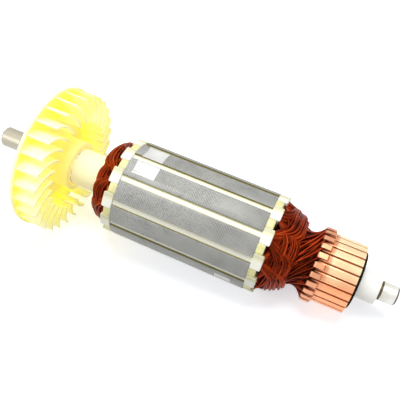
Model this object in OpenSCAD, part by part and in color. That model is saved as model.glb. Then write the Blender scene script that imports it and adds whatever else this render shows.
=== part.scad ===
// Wound armature of a small universal motor: a shaft in an insulating sleeve, a slotted
// lamination stack with a lap winding, a hook commutator and a moulded cooling fan.
// +X runs along the shaft from the fan end to the commutator end.
// The origin is the centre of the shaft's end face at the fan end. Lengths are in millimetres.

/* [Shaft] */
// Diameter of the bearing journal at the fan end
fan_journal_d = 9; // [6:0.5:9.5]
// Length of that journal, from the shaft's end to the fan's back face
fan_journal_len = 25; // [12:1:40]
// Diameter of the shaft under the fan and the insulating sleeve
seat_d = 10; // [9.5:0.5:11]
// Diameter of the bearing journal at the commutator end
tip_journal_d = 8; // [5:0.5:9]
// Length of the journal at the commutator end
tip_journal_len = 6.6; // [5:0.2:16]
// Width of the relief groove beside that journal
relief_w = 1.1; // [0.6:0.1:2]
// Depth of the relief groove below the journal
relief_depth = 0.4; // [0.2:0.1:0.8]
// Chamfer on both ends of the shaft
shaft_chamfer = 0.6; // [0.2:0.1:1]

/* [Cooling fan] */
// Outer diameter of the fan's back disc
fan_d = 64; // [56:1:76]
// Thickness of the back disc
fan_disc_t = 1.6; // [1:0.1:3]
// Depth of the fan from its back face to the front of its boss
fan_depth = 13.5; // [11:0.5:16]
// Diameter of the boss
fan_boss_d = 22; // [20.5:0.5:26]
// Number of blades
blade_count = 28; // [16:1:32]
// Thickness of a blade
blade_t = 1.1; // [0.8:0.1:1.6]
// Diameter of the open eye inside the blades
fan_eye_d = 41; // [34:1:46]
// Diameter across the blades' outer edges
blade_tip_d = 62.8; // [52:0.4:63.6]
// Angle that a blade sweeps back from its inner to its outer edge
blade_sweep = 15; // [5:1:20]
// Distance of the blades' inner front corners behind the boss's front
blade_inner_step = 0.5; // [0:0.1:2]
// Distance of the blades' outer front corners behind the boss's front
blade_outer_step = 1.9; // [0.6:0.1:4]

/* [Insulating sleeve] */
// Diameter of the sleeve between the fan and the core
sleeve_d = 16.8; // [15:0.2:17.2]
// Diameter of the sleeve inside the core and the commutator
sleeve_core_d = 14; // [12.5:0.5:14.5]
// Diameter of the sleeve beyond the commutator
sleeve_tip_d = 13; // [12:0.5:14]
// Length of the tapered end of the sleeve beside the fan
sleeve_taper_len = 4.5; // [3:0.5:6]
// Taper of that end on the radius
sleeve_taper = 0.3; // [0.1:0.1:0.5]
// Length of the sleeve beyond the commutator
sleeve_tip_len = 8.5; // [3:0.5:16]
// Depth of the recess in the fan's boss that takes the sleeve
sleeve_seat_depth = 2.5; // [1:0.5:4]
// Gap round the sleeve in that recess
sleeve_seat_gap = 0.8; // [0.3:0.1:1]

/* [Lamination stack] */
// Outer diameter of the stack
core_d = 42; // [41:0.5:46]
// Length of the stack
core_len = 60; // [30:1:90]
// Distance from the fan's back face to the stack
core_offset = 40; // [38:1:60]
// Width of a slot's mouth
slot_mouth = 2.6; // [1.6:0.2:3]
// Width of the parallel part of a tooth
tooth_w = 4.2; // [3.8:0.1:4.4]
// Diameter on which the slots' round bottoms lie
slot_bottom_d = 24.8; // [24:0.2:25]
// Thickness of a tooth's lip at the slot's mouth
lip_t = 0.9; // [0.6:0.1:1]
// Thickness of a tooth's lip at its root
lip_root_t = 1.6; // [1.4:0.1:1.8]
// Radius of the cutter that milled the balance cuts
balance_cutter_r = 16; // [10:1:30]

/* [Slot insulation] */
// Thickness of the moulded end insulators
insulator_t = 3.2; // [1.5:0.1:4]
// How much smaller than the stack the end insulators are, on the diameter
insulator_step = 0.4; // [0.2:0.1:1]
// Thickness of the slot liners
liner_t = 0.4; // [0.2:0.05:0.5]
// How far the liners stand out of the end insulators
liner_flare = 0.7; // [0.2:0.1:0.8]
// Thickness of the wedges that close the slots, below the lip's root
wedge_t = 0.8; // [0.5:0.1:1]
// How far the wedges' wide heads stand out of the end insulators
head_out = 1.2; // [0.8:0.1:1.6]

/* [Winding] */
// Height of the end turns above the end insulator at the fan side
end_turn_h_fan = 9.6; // [9.4:0.2:12]
// Height of the end turns above the end insulator at the commutator side
end_turn_h_commutator = 12; // [9.4:0.2:13]
// How much lower the end turns lie at their outer edge than beside the sleeve
shoulder_drop = 2; // [1:0.2:2]
// Axial thickness of one layer of end turns
layer_t = 3.8; // [3:0.1:4]
// Radial thickness of a bundle in the outer half of a slot
outer_bundle_t = 1.8; // [1.4:0.1:2]
// Radial thickness of a bundle in the inner half of a slot
inner_bundle_t = 3.5; // [2.8:0.1:3.6]
// Width of a bundle in the end turns' outer layer
outer_leg_w = 2.1; // [1.6:0.1:2.4]
// Extra width of a bundle halfway between its slot and the sleeve
leg_swell = 0.5; // [0:0.1:0.5]
// Width of a bundle in the end turns' inner layer
inner_leg_w = 2.5; // [1.8:0.1:2.7]
// Radial width of a bundle where it passes the sleeve
throat_w = 1.5; // [1.2:0.1:1.5]
// Width of a bundle where it leans from its slot to the outer layer
lean_w = 5.0; // [4:0.2:5.2]
// Diameter of the wire in a lead
lead_d = 0.7; // [0.4:0.05:0.8]

/* [Commutator] */
// Diameter of the commutator's brush track
track_d = 28.7; // [27:0.1:30]
// Length of a copper bar
bar_len = 16.3; // [14:0.1:24]
// Distance from the stack to the copper bars
commutator_offset = 23.2; // [22.4:0.2:34]
// Width of the gap between two bars
bar_gap = 0.7; // [0.4:0.1:1]
// Depth of a bar from the track to its foot
bar_depth = 4.4; // [4:0.1:5]
// Depth of the gaps before the moulding fills them
undercut = 0.8; // [0.4:0.1:1.2]
// Width of a hook
hook_w = 2.1; // [1.6:0.1:2.6]
// Thickness of a hook
hook_t = 0.65; // [0.5:0.05:0.8]
// Length of a hook over its bar
hook_len = 3.8; // [2.4:0.1:4]
// Length of the moulding's rim beyond the bars
rim_len = 1.3; // [1:0.1:4]
// Height of the bars above the moulding's rim
rim_step = 2.2; // [0.4:0.1:2.4]

/* [Hidden] */
$fn = 96;
slot_count = 12;
bar_count = 2 * slot_count;
slot_pitch = 360 / slot_count;
bar_pitch = 360 / bar_count;
half_pitch = slot_pitch / 2;
coil_span = floor(slot_count / 2) - 1;
blade_start = 105;
blade_curl = 1.5;
fan_fillet_r = 3;
fan_edge = 0.4;
moulding_lip = 0.7;

// Radii
core_r = core_d / 2;
seat_r = seat_d / 2;
track_r = track_d / 2;
sleeve_core_r = sleeve_core_d / 2;
insulator_r = core_r - insulator_step / 2;

// Stations along the shaft
fan_x = fan_journal_len;
fan_front_x = fan_x + fan_depth;
sleeve_x = fan_front_x - sleeve_seat_depth;
core_x = fan_x + core_offset;
core_end_x = core_x + core_len;
end_fan_x = core_x - insulator_t;
end_commutator_x = core_end_x + insulator_t;
bar_x = core_end_x + commutator_offset;
bar_end_x = bar_x + bar_len;
moulding_x = bar_x - moulding_lip;
moulding_end_x = bar_end_x + rim_len;
sleeve_end_x = moulding_end_x + sleeve_tip_len;
tip_x = sleeve_end_x + relief_w;
shaft_len = tip_x + tip_journal_len;

// Slot: radii of the lip's edge and root, the wedge's inner face and the bottom
lip_r = core_r - lip_t;
lip_root_r = core_r - lip_root_t;
wedge_r = lip_root_r - wedge_t;
slot_bottom_r = slot_bottom_d / 2;

// Bundles in a slot: a small gap keeps the wires off the paper
bundle_gap = 0.1;
outer_high = wedge_r - bundle_gap;
outer_low = outer_high - outer_bundle_t;
inner_low = slot_bottom_r + liner_t + bundle_gap;
inner_high = inner_low + inner_bundle_t;
outer_r = (outer_low + outer_high) / 2;
inner_r = (inner_low + inner_high) / 2;

// End turns: leans of a bundle from its slot and beside the sleeve, the climb of its back and
// the bow of its legs, the radii of its bends, half its thickness beside the sleeve and the
// angle it takes from there to its slot
lean = 50;
climb = 18;
leg_bow = 1.09;
ramp_lean = 65;
inner_bend_r = 0.4;
slot_clear = liner_flare + bundle_gap;
rise_bend_r = 2.7;
layer_bend_r = layer_t / 2 + inner_bend_r;
ramp_bend_r = 1.8;
ramp_half_t = 1.3;
inner_angle = 30;
sleeve_clear = 0.3;
throat_r = sleeve_d / 2 + sleeve_clear + throat_w / 2;

// Hooks: the wire lies in the bend with a small gap, and the foot sinks into the bar
wire_gap = 0.03;
eye_r = lead_d / 2 + wire_gap;
eye_height = track_r + eye_r;
hook_bend_r = eye_r + hook_t;
hook_low_r = eye_height - hook_bend_r;
hook_overhang = 0.2;
hook_x = bar_x - hook_overhang;
hook_root = 0.5;
hook_foot = 1;

// Angle that a lead turns back about the shaft on its way to its hook
lead_turn = 23;

// Balance cuts: lowest and highest angle, distance from the stack's fan side, length
BALANCE_CUTS = [
    [63, 87, 3.1, 9.1],
    [93, 111, 2.8, 10],
    [191, 207, core_len - 12.6, 6.9]
];

SLOTS = [1 : slot_count];
BARS = [1 : bar_count];

function numbered(name, i) = str(name, i < 10 ? "_0" : "_", i);

// ---- Shared forms ----

// Solid turned about the shaft from [x, radius] points
module turned(points) {
    rotate([0, 90, 0])
        rotate_extrude(convexity = 6)
            polygon([for (p = points) [p[1], p[0]]]);
}

// Flat shape in the Y-Z plane, extruded along the shaft from x to x + len
module along_shaft(x, len) {
    translate([x, 0, 0])
        rotate([90, 0, 90])
            linear_extrude(len, convexity = 10)
                children();
}

// Angle of a slot's centre line about the shaft
function slot_angle(i) = (i - 1) * slot_pitch;

// Angle of a bar's centre line about the shaft
function bar_angle(i) = (i - 0.5) * bar_pitch;

// Point at an angle about the shaft
function around(angle, x, r) = [x, r * cos(angle), r * sin(angle)];

function unit(v) = v / norm(v);

// ---- Shaft and sleeve ----

module shaft() {
    c = shaft_chamfer;
    journal_r = fan_journal_d / 2;
    tip_r = tip_journal_d / 2;
    color("silver")
        turned([
            [0, 0], [0, journal_r - c], [c, journal_r], [fan_x, journal_r],
            [fan_x, seat_r], [sleeve_end_x, seat_r], [sleeve_end_x, tip_r - relief_depth],
            [tip_x, tip_r - relief_depth], [tip_x, tip_r], [shaft_len - c, tip_r],
            [shaft_len, tip_r - c], [shaft_len, 0]
        ]);
}

module insulating_sleeve() {
    color("ivory")
        turned([
            [sleeve_x, seat_r], [sleeve_x, sleeve_d / 2 - sleeve_taper],
            [sleeve_x + sleeve_taper_len, sleeve_d / 2], [end_fan_x, sleeve_d / 2],
            [end_fan_x, sleeve_core_r], [moulding_end_x, sleeve_core_r],
            [moulding_end_x, sleeve_tip_d / 2], [sleeve_end_x, sleeve_tip_d / 2],
            [sleeve_end_x, seat_r]
        ]);
}

// ---- Cooling fan ----

// Angle of a blade's centre line at a share of the way from the eye to the rim
function blade_angle(t) = blade_sweep * pow(t, blade_curl);

// Curved outline of one blade in the Y-Z plane
module blade_outline() {
    steps = 8;
    eye_r = fan_eye_d / 2;
    rim_r = blade_tip_d / 2;
    function edge(t, side) =
        let (r = eye_r + (rim_r - eye_r) * t)
        let (a = blade_angle(t) + side * blade_t / 2 / r * 180 / PI)
        [r * cos(a), r * sin(a)];
    polygon(concat(
        [for (k = [0 : steps]) edge(k / steps, -1)],
        [for (k = [steps : -1 : 0]) edge(k / steps, 1)]
    ));
}

// Height of the blades' front edges, from the eye to the rim
module blade_envelope() {
    turned([
        [fan_x, fan_eye_d / 2], [fan_front_x - blade_inner_step, fan_eye_d / 2],
        [fan_front_x - blade_outer_step, blade_tip_d / 2], [fan_x, blade_tip_d / 2]
    ]);
}

module fan_body() {
    boss_r = fan_boss_d / 2;
    disc_x = fan_x + fan_disc_t;
    turned(concat(
        [[fan_x, seat_r], [fan_x, fan_d / 2 - fan_edge]],
        [[fan_x + fan_edge, fan_d / 2], [disc_x, fan_d / 2]],
        [for (a = [90 : -15 : 0])
            [disc_x + fan_fillet_r * (1 - sin(a)), boss_r + fan_fillet_r * (1 - cos(a))]],
        [[fan_front_x, boss_r], [fan_front_x, seat_r]]
    ));
}

module fan() {
    recess_r = sleeve_d / 2 + sleeve_seat_gap;
    beyond_x = fan_front_x + 1;
    color("khaki")
        difference() {
            union() {
                fan_body();
                intersection() {
                    along_shaft(fan_x + fan_disc_t / 2, fan_depth)
                        for (k = [0 : blade_count - 1])
                            rotate(blade_start + k * 360 / blade_count)
                                blade_outline();
                    blade_envelope();
                }
            }
            turned([[sleeve_x, 0], [sleeve_x, recess_r], [beyond_x, recess_r], [beyond_x, 0]]);
        }
}

// ---- Lamination stack ----

// Distance from a slot's centre line to the tooth's flank at radius q, beside teeth of width w
function flank(q, w) = q * tan(half_pitch) - w / 2 / cos(half_pitch);

// Points round a slot section from one top corner, past its round bottom, to the other.
// It is open at radius top, and its centre line lies along the first axis.
function slot_points(w, bottom, top) =
    let (r = (bottom * sin(half_pitch) - w / 2) / (1 - sin(half_pitch)))
    let (steps = 12)
    let (half = 90 - half_pitch)
    concat(
        [[top, flank(top, w)]],
        [for (k = [0 : steps])
            let (a = 180 - half + 2 * half * k / steps)
            [bottom + r + r * cos(a), r * sin(a)]],
        [[top, -flank(top, w)]]
    );

// Slot with its lips and mouth
module lipped_slot() {
    mouth = slot_mouth / 2;
    polygon(concat(
        slot_points(tooth_w, slot_bottom_r, lip_root_r),
        [[lip_r, -mouth], [core_r + 1, -mouth], [core_r + 1, mouth], [lip_r, mouth]]
    ));
}

// Slot whose teeth keep their width up to the outside
module open_slot() {
    polygon(slot_points(tooth_w, slot_bottom_r, core_r + 1));
}

// Flat ring of radius r with a slot for each coil side
module slotted_ring(r) {
    difference() {
        circle(r);
        circle(sleeve_core_r);
        for (i = SLOTS)
            rotate(slot_angle(i))
                children();
    }
}

// Shallow milled cut that spans the angles from low to high
module balance_cut(low, high, x, len) {
    half = (high - low) / 2;
    reach = core_r * cos(half) + sqrt(pow(balance_cutter_r, 2) - pow(core_r * sin(half), 2));
    along_shaft(x, len)
        rotate((low + high) / 2)
            translate([reach, 0])
                circle(balance_cutter_r);
}

module lamination_stack() {
    color("gray")
        difference() {
            along_shaft(core_x, core_len)
                slotted_ring(core_r)
                    lipped_slot();
            for (cut = BALANCE_CUTS)
                balance_cut(cut[0], cut[1], core_x + cut[2], cut[3]);
        }
}

module end_insulator(x) {
    color("palegoldenrod")
        along_shaft(x, insulator_t)
            slotted_ring(insulator_r)
                open_slot();
}

module slot_liners() {
    outer = slot_points(tooth_w, slot_bottom_r, wedge_r);
    inner = slot_points(tooth_w + 2 * liner_t, slot_bottom_r + liner_t, wedge_r);
    color("cornsilk")
        along_shaft(end_fan_x - liner_flare, core_len + 2 * (insulator_t + liner_flare))
            for (i = SLOTS)
                rotate(slot_angle(i))
                    polygon(concat(outer, [for (k = [len(inner) - 1 : -1 : 0]) inner[k]]));
}

// Wide head that fills an end insulator's slot mouth, from x towards the stack
module wedge_head(x) {
    foot = flank(wedge_r, tooth_w);
    top = flank(insulator_r, tooth_w);
    along_shaft(x, insulator_t + head_out)
        polygon([[wedge_r, -foot], [insulator_r, -top], [insulator_r, top], [wedge_r, foot]]);
}

module slot_wedge(i) {
    foot = flank(wedge_r, tooth_w);
    root = flank(lip_root_r, tooth_w);
    mouth = slot_mouth / 2;
    color("cornsilk")
        rotate([slot_angle(i), 0, 0]) {
            along_shaft(core_x, core_len)
                polygon([
                    [wedge_r, -foot], [wedge_r, foot], [lip_root_r, root], [lip_r, mouth],
                    [lip_r, -mouth], [lip_root_r, -root]
                ]);
            wedge_head(end_fan_x - head_out);
            wedge_head(core_end_x);
        }
}

// ---- Winding ----

// Points [a, z] on an arc from heading h0 to h1, starting at [a, z]
function turn(a, z, h0, h1, r, steps) =
    let (s = h1 < h0 ? r : -r)
    [for (k = [0 : steps])
        let (h = h0 + (h1 - h0) * k / steps)
        [a + s * (sin(h0) - sin(h)), z + s * (cos(h) - cos(h0))]];

function mix(a, b, t) = a + (b - a) * t;

function degrees_at(len, r) = len / r * 180 / PI;

// Half widths of a bundle in a slot at radius q
function half_slot(q) = flank(q, tooth_w + 2 * liner_t) - bundle_gap;

// Stations of one coil's end turns above the insulator, from its outer side to its inner side.
// Each is [angle, z, radius, half radial width, half width at the low side, at the high side].
function end_turns(height) =
    let (z_far = height - layer_t / 2)
    let (z_near = slot_clear + layer_bend_r)
    let (z_shoulder = z_far - shoulder_drop)
    let (leg = layer_t / 2)
    // Rise from the slot's outer half, leaning forwards, into the far layer
    let (rise_1 = turn(0, slot_clear, 90, lean, rise_bend_r, 2))
    let (bend_drop = layer_bend_r * (cos(climb) - cos(lean)))
    let (lean_z = z_shoulder - bend_drop - rise_1[2][1])
    let (rise_a = rise_1[2][0] + lean_z / tan(lean))
    let (rise_2 = turn(rise_a, z_shoulder - bend_drop, lean, climb, layer_bend_r, 2))
    let (rise = concat(rise_1, [(rise_1[2] + rise_2[0]) / 2], rise_2))
    let (rise_n = len(rise) - 1)
    let (rise_angle = degrees_at(rise[rise_n][0], outer_r))
    // Ramp beside the sleeve, from the far layer down to the near one
    let (ramp_1 = turn(0, z_far, 0, -ramp_lean, ramp_bend_r, 2))
    let (ramp_drop = ramp_bend_r * (1 - cos(ramp_lean)))
    let (ramp_a = ramp_1[2][0] + (z_far - z_near - 2 * ramp_drop) / tan(ramp_lean))
    let (ramp_2 = turn(ramp_a, z_near + ramp_drop, -ramp_lean, 0, ramp_bend_r, 2))
    let (ramp = concat(ramp_1, ramp_2))
    let (ramp_angle = degrees_at(ramp[5][0], throat_r))
    // Bend into the slot's inner half
    let (drop = turn(0, z_near, 0, -90, layer_bend_r, 3))
    let (drop_angle = degrees_at(layer_bend_r, inner_r))
    let (total = coil_span * slot_pitch)
    let (far_angle = total - rise_angle - ramp_angle - inner_angle - drop_angle)
    let (throat_angle = rise_angle + far_angle)
    concat(
        [for (k = [0 : rise_n])
            let (t = k / rise_n)
            let (spread = (lean_w / 2 - leg) * pow(sin(180 * t), 6))
            [degrees_at(rise[k][0], outer_r), rise[k][1], outer_r,
             mix(outer_bundle_t, outer_leg_w, t) / 2,
             mix(half_slot(outer_low), leg, t) + spread,
             mix(half_slot(outer_high), leg, t) + spread]],
        [for (k = [1 : 5])
            let (t = k / 6)
            let (half = mix(leg, ramp_half_t, t * t * t))
            [rise_angle + far_angle * t, z_far - shoulder_drop * (1 - sin(90 * t)),
             mix(outer_r, throat_r, pow(t, leg_bow)),
             (mix(outer_leg_w, throat_w, t) + leg_swell * sin(180 * t)) / 2, half, half]],
        [for (k = [0 : 5])
            [throat_angle + degrees_at(ramp[k][0], throat_r), ramp[k][1], throat_r,
             throat_w / 2, ramp_half_t, ramp_half_t]],
        [for (k = [1 : 3])
            let (t = k / 4)
            let (half = mix(ramp_half_t, leg, t))
            [throat_angle + ramp_angle + inner_angle * t, z_near, mix(throat_r, inner_r, t),
             mix(throat_w, inner_leg_w, t) / 2, half, half]],
        [for (k = [0 : 3])
            let (t = k / 3)
            [total - drop_angle + degrees_at(drop[k][0], inner_r), drop[k][1], inner_r,
             mix(inner_leg_w, inner_bundle_t, t) / 2,
             mix(leg, half_slot(inner_low), t), mix(leg, half_slot(inner_high), t)]]
    );

// Section of a bundle, a rectangle with its corners cut, as shares of its half widths
BUNDLE = [[-0.5, -1], [0.5, -1], [1, -0.6], [1, 0.6], [0.5, 1], [-0.5, 1], [-1, 0.6], [-1, -0.6]];

// Ring of points round a place p, for a path that runs along t
function ring(p, t, half, low, high, section) =
    let (radial = unit([0, p[1], p[2]]))
    let (b = unit(radial - (radial * t) * t))
    let (n = cross(t, b))
    [for (s = section) p + b * half * s[0] + n * mix(low, high, (s[0] + 1) / 2) * s[1]];

// Two triangles for each side between ring i and ring j
function band(i, j, sides) =
    [for (k = [0 : sides - 1])
        let (m = (k + 1) % sides)
        each [[i * sides + k, j * sides + k, j * sides + m],
              [i * sides + k, j * sides + m, i * sides + m]]];

// Closed loop of rings
module closed_sweep(rings) {
    count = len(rings);
    sides = len(rings[0]);
    polyhedron(
        [for (r = rings) each r],
        [for (i = [0 : count - 1]) each band(i, (i + 1) % count, sides)],
        convexity = 10
    );
}

// Open tube of rings with flat ends
module open_sweep(rings) {
    last = len(rings) - 1;
    sides = len(rings[0]);
    polyhedron(
        [for (r = rings) each r],
        concat(
            [[for (k = [0 : sides - 1]) k]],
            [for (i = [0 : last - 1]) each band(i, i + 1, sides)],
            [[for (k = [sides - 1 : -1 : 0]) last * sides + k]]
        ),
        convexity = 10
    );
}

// Loop of wire through two slots, with its end turns
module coil_bundle(angle) {
    fan_end = end_turns(end_turn_h_fan);
    far_end = end_turns(end_turn_h_commutator);
    stations = concat(
        [for (s = fan_end) [around(angle + s[0], end_fan_x - s[1], s[2]), s]],
        [for (k = [len(far_end) - 1 : -1 : 0])
            let (s = far_end[k])
            [around(angle + s[0], end_commutator_x + s[1], s[2]), s]]
    );
    count = len(stations);
    closed_sweep([for (k = [0 : count - 1])
        let (before = stations[(k + count - 1) % count][0])
        let (after = stations[(k + 1) % count][0])
        let (s = stations[k][1])
        let (along = s[1] > slot_clear ? unit(after - before) : [s[0] == 0 ? -1 : 1, 0, 0])
        ring(stations[k][0], along, s[3], s[4], s[5], BUNDLE)]);
}

// Radius of a coil's path in the far layer at the commutator side, at an angle from its slot
function far_radius(angle) =
    let (ends = end_turns(end_turn_h_commutator))
    let (inside = [for (s = ends) if (s[0] <= angle) s])
    let (a = inside[len(inside) - 1], b = ends[len(inside)])
    mix(a[2], b[2], (angle - a[0]) / (b[0] - a[0]));

// Lead from the coil whose slot lies at angle, to the hook at hook_angle beside it
module lead(angle, hook_angle) {
    z_far = end_turn_h_commutator - layer_t / 2;
    gap_angle = bar_pitch / 2;
    gap_t = gap_angle * PI / 180 * eye_height;
    start = hook_angle + gap_angle + lead_turn;
    start_r = far_radius(start - angle);
    start_x = end_commutator_x + z_far;
    free_x = end_commutator_x + end_turn_h_commutator + lead_d;
    gate_x = hook_x - hook_bend_r - lead_d / 2;
    function hooked(x, t) =
        [x, eye_height * cos(hook_angle) - t * sin(hook_angle),
         eye_height * sin(hook_angle) + t * cos(hook_angle)];
    path = concat(
        [around(start, start_x, start_r), around(start, free_x, start_r)],
        [for (k = [1 : 4])
            let (t = k / 5)
            around(mix(start, hook_angle + gap_angle, t), mix(free_x, gate_x, t),
                   mix(start_r, eye_height, t))],
        [hooked(gate_x, gap_t), hooked(hook_x - lead_d * 0.8, gap_t),
         hooked(hook_x - lead_d * 0.2, gap_t - lead_d * 0.4), hooked(hook_x, gap_t - lead_d),
         hooked(hook_x, wire_gap - hook_w / 2)]
    );
    last = len(path) - 1;
    sides = 6;
    section = [for (k = [0 : sides - 1]) [cos(k * 360 / sides), sin(k * 360 / sides)]];
    open_sweep([for (k = [0 : last])
        let (t = unit(path[min(k + 1, last)] - path[max(k - 1, 0)]))
        ring(path[k], t, lead_d / 2, lead_d / 2, lead_d / 2, section)]);
}

module coil(i) {
    angle = slot_angle(i);
    color("sienna") {
        coil_bundle(angle);
        lead(angle, angle - bar_pitch / 2);
        lead(angle, angle + bar_pitch / 2);
    }
}

// ---- Commutator ----

// Turned profile of the copper: a flat track above a dovetail foot held in the moulding
module bar_ring() {
    shoulder_r = track_r - bar_depth * 0.4;
    waist_r = track_r - bar_depth * 0.62;
    foot_r = track_r - bar_depth;
    waist = 2.4;
    notch = 1.4;
    foot = waist / 2;
    turned([
        [bar_x, track_r], [bar_end_x, track_r], [bar_end_x, shoulder_r],
        [bar_end_x - waist, waist_r], [bar_end_x - foot, foot_r],
        [bar_x + notch + foot, foot_r], [bar_x + notch + waist, waist_r],
        [bar_x + notch, shoulder_r], [bar_x, shoulder_r]
    ]);
}

// Wedge between two gaps, its centre line along +Y
module bar_wedge() {
    reach = track_r + 2;
    apex = bar_gap / 2 / sin(bar_pitch / 2);
    side = (reach - apex) * tan(bar_pitch / 2);
    along_shaft(bar_x - 1, bar_len + 2)
        polygon([[apex, 0], [reach, side], [reach, -side]]);
}

// Hook bent back over the bar, with the eye that holds the wire
module hook() {
    tip_x = hook_x + hook_len;
    top = eye_height + hook_bend_r;
    rotate([90, 0, 0])
        translate([0, 0, -hook_w / 2])
            linear_extrude(hook_w, convexity = 6)
                difference() {
                    union() {
                        translate([hook_x, eye_height])
                            circle(hook_bend_r);
                        polygon([
                            [hook_x, hook_low_r], [hook_x, top], [tip_x - hook_t, top],
                            [tip_x, track_r], [tip_x, track_r - hook_root],
                            [bar_x + hook_foot, hook_low_r]
                        ]);
                    }
                    translate([hook_x, eye_height])
                        circle(eye_r);
                    polygon([
                        [hook_x, eye_height - eye_r], [hook_x, eye_height + eye_r],
                        [tip_x - 2 * hook_t, eye_height + eye_r],
                        [tip_x - hook_t, eye_height - eye_r]
                    ]);
                }
}

// One bar with its hook, its centre line along +Z
module bar_solid() {
    rotate([90, 0, 0])
        intersection() {
            bar_ring();
            bar_wedge();
        }
    hook();
}

module commutator_bar(i) {
    color("darksalmon")
        rotate([bar_angle(i) - 90, 0, 0])
            bar_solid();
}

module commutator_moulding() {
    rim_r = track_r - rim_step;
    fill_r = track_r - undercut;
    lip_low = 1.2;
    lip_high = 0.3;
    edge = 0.6;
    color("dimgray")
        difference() {
            turned([
                [moulding_x, sleeve_core_r], [moulding_x, hook_low_r - lip_low],
                [bar_x, hook_low_r - lip_high], [bar_x, fill_r], [bar_end_x, fill_r],
                [bar_end_x, rim_r], [moulding_end_x - edge, rim_r],
                [moulding_end_x, rim_r - edge], [moulding_end_x, sleeve_core_r]
            ]);
            for (i = BARS)
                rotate([bar_angle(i), 0, 0])
                    intersection() {
                        bar_ring();
                        bar_wedge();
                    }
        }
}

shaft();
fan();
insulating_sleeve();
lamination_stack();
end_insulator(end_fan_x);  // end_insulator_fan_side
end_insulator(core_end_x);  // end_insulator_commutator_side
slot_liners();
for (i = SLOTS)
    slot_wedge(i);
for (i = SLOTS)
    coil(i);
for (i = BARS)
    commutator_bar(i);
commutator_moulding();
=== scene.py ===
"""Finish and fine detail for a wound motor armature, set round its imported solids."""

import math
import random

import bmesh
import bpy
from bpy.props import FloatProperty, FloatVectorProperty, IntProperty, PointerProperty
from mathutils import Matrix, Vector


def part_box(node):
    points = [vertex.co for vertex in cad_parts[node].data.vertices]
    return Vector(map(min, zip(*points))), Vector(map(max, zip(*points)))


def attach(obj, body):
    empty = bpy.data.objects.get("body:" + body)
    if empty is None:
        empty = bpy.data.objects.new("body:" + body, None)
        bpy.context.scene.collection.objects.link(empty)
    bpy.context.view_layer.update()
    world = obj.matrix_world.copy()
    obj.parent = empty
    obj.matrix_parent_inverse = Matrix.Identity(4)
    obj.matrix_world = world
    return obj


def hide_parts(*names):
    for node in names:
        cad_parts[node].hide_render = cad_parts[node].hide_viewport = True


bl_info = {
    "name": "Motor armature",
    "version": (1, 0, 0),
    "blender": (4, 5, 0),
    "location": "View3D > Sidebar > Armature",
    "description": "Dresses a wound armature with its finishes and its wires",
    "category": "Object",
}

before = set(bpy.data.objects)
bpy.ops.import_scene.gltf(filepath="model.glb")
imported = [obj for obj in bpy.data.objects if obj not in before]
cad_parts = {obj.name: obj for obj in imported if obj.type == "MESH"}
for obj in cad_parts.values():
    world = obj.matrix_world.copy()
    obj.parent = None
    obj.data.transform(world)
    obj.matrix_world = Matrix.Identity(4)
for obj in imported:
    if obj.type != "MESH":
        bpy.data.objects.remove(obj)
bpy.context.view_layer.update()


# ---- Places taken from the solids ----


def low(node):
    """Corner of a CAD node's box with the smallest coordinates."""
    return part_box(node)[0]


def high(node):
    """Corner of a CAD node's box with the largest coordinates."""
    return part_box(node)[1]


def nodes_named(start):
    """The CAD nodes whose names begin with start, in order."""
    return sorted(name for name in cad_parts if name.startswith(start))


SHAFT_END_X = high("shaft").x
FAN_X = low("fan").x
FAN_END_X = high("fan").x
SLEEVE_END_X = high("insulating_sleeve").x
CORE_X = low("lamination_stack").x
CORE_END_X = high("lamination_stack").x
CORE_R = high("lamination_stack").z
FAN_FACE_X = low("end_insulator_fan_side").x
COMMUTATOR_FACE_X = high("end_insulator_commutator_side").x
MOULDING_X = low("commutator_moulding").x
BAR_END_X = high("commutator_bar_01").x

COILS = nodes_named("coil")
BARS = nodes_named("commutator_bar")
WEDGES = nodes_named("slot_wedge")

# Degrees from slot to slot, and from one side of a coil to its other side
SLOT_PITCH = 360 / len(COILS)
COIL_SPAN = 5 * SLOT_PITCH

# Middle of the eyes in the hooks, along the shaft and out from its middle line
HOOK_X = low("commutator_bar_01").x + 0.00103
HOOK_EYE_R = 0.01473

# Coils in the order in which they are wound, two opposite ones at a time
WINDING_ORDER = (0, 6, 1, 7, 2, 8, 3, 9, 4, 10, 5, 11)


# ---- Shader helpers ----


BLACK, WHITE = (0.0, 0.0, 0.0), (1.0, 1.0, 1.0)


def opaque(colour):
    """A colour with its alpha, or a link as it is."""
    return colour if isinstance(colour, Value) or len(colour) == 4 else (*colour, 1.0)


def dim(colour, share):
    """A colour with that share of its light."""
    return tuple(channel * share for channel in colour[:3])


def socket_in_use(sockets, key):
    """The socket with that number, or the one with that name which the settings leave in use."""
    if isinstance(key, int):
        return sockets[key]
    return next(socket for socket in sockets if socket.name == key and socket.enabled)


class Value:
    """A shader socket whose sums and products add their own Math nodes."""

    def __init__(self, finish, socket):
        self.finish = finish
        self.socket = socket

    def math(self, operation, *others, clamp=False):
        """A Math node on this value and others."""
        settings = {"operation": operation, "use_clamp": clamp}
        return self.finish.node("Math", settings, dict(enumerate((self, *others))))

    def within(self, start, end):
        """1 between start and end, 0 elsewhere."""
        return (self > start) * (self < end)

    def __add__(self, other):
        return self.math("ADD", other)

    def __sub__(self, other):
        return self.math("SUBTRACT", other)

    def __rsub__(self, other):
        return self.finish.number(other).math("SUBTRACT", self)

    def __mul__(self, other):
        return self.math("MULTIPLY", other)

    def __truediv__(self, other):
        return self.math("DIVIDE", other)

    def __rtruediv__(self, other):
        return self.finish.number(other).math("DIVIDE", self)

    def __gt__(self, other):
        return self.math("GREATER_THAN", other)

    def __lt__(self, other):
        return self.math("LESS_THAN", other)

    __radd__ = __add__
    __rmul__ = __mul__


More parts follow.
